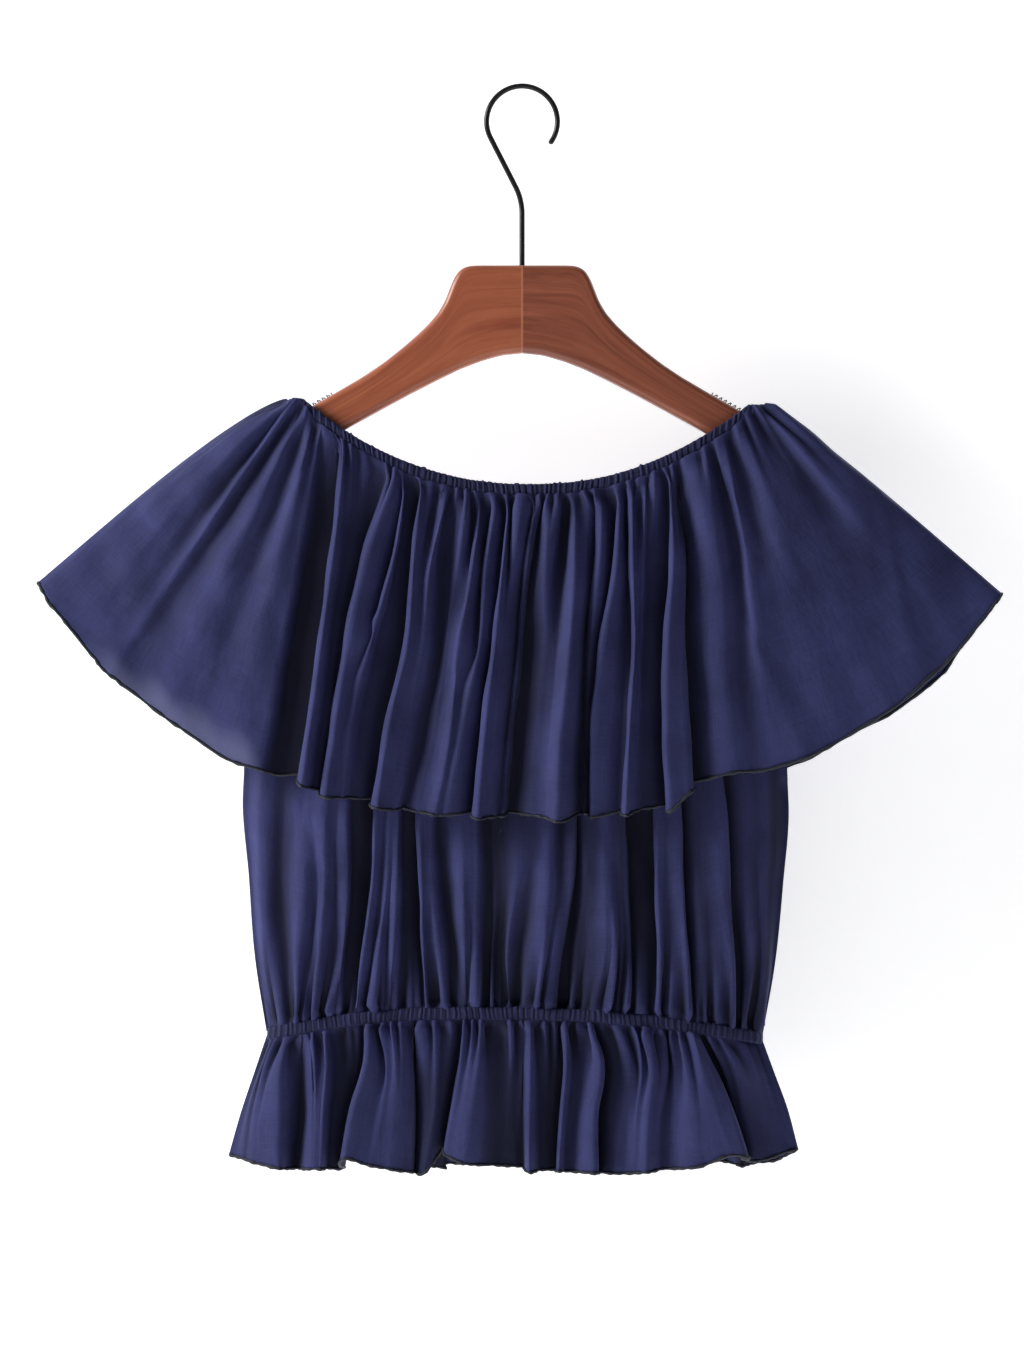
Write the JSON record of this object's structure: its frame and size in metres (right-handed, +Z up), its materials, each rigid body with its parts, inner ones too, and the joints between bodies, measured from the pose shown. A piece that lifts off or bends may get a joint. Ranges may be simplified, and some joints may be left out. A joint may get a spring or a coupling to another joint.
{
  "type": "off-shoulder ruffle top on a wooden hanger",
  "caption": "Off-shoulder top of thin navy cloth with a wide flounce that forms wing sleeves, an elastic waist and a peplum, hanging on a wooden hanger with a wire hook.",
  "frame": {"origin": "the point inside the top of the hook that rests on a rail, in the hanger's middle plane", "axes": "+X to the right as the front is seen, +Y towards the back of the garment, +Z up"},
  "size_m": [0.6528, 0.081, 0.7362],
  "materials": {
    "navy_cloth": "thin navy crinkled viscose with a soft sheen, overlocked edges",
    "stained_wood": "red-brown stain under clear satin lacquer",
    "black_wire": "black-coated steel wire",
    "grey_steel": "dull grey-green steel"
  },
  "bodies": {
    "root": {"neck_casing": "navy_cloth", "flounce_front": "navy_cloth", "flounce_back": "navy_cloth", "bodice_front": "navy_cloth", "bodice_back": "navy_cloth", "waist_casing": "navy_cloth", "peplum_front": "navy_cloth", "peplum_back": "navy_cloth", "hanger_left": "stained_wood", "hanger_right": "stained_wood", "hook": "black_wire", "grip_left": "grey_steel", "grip_right": "grey_steel"}
  },
  "joints": []
}
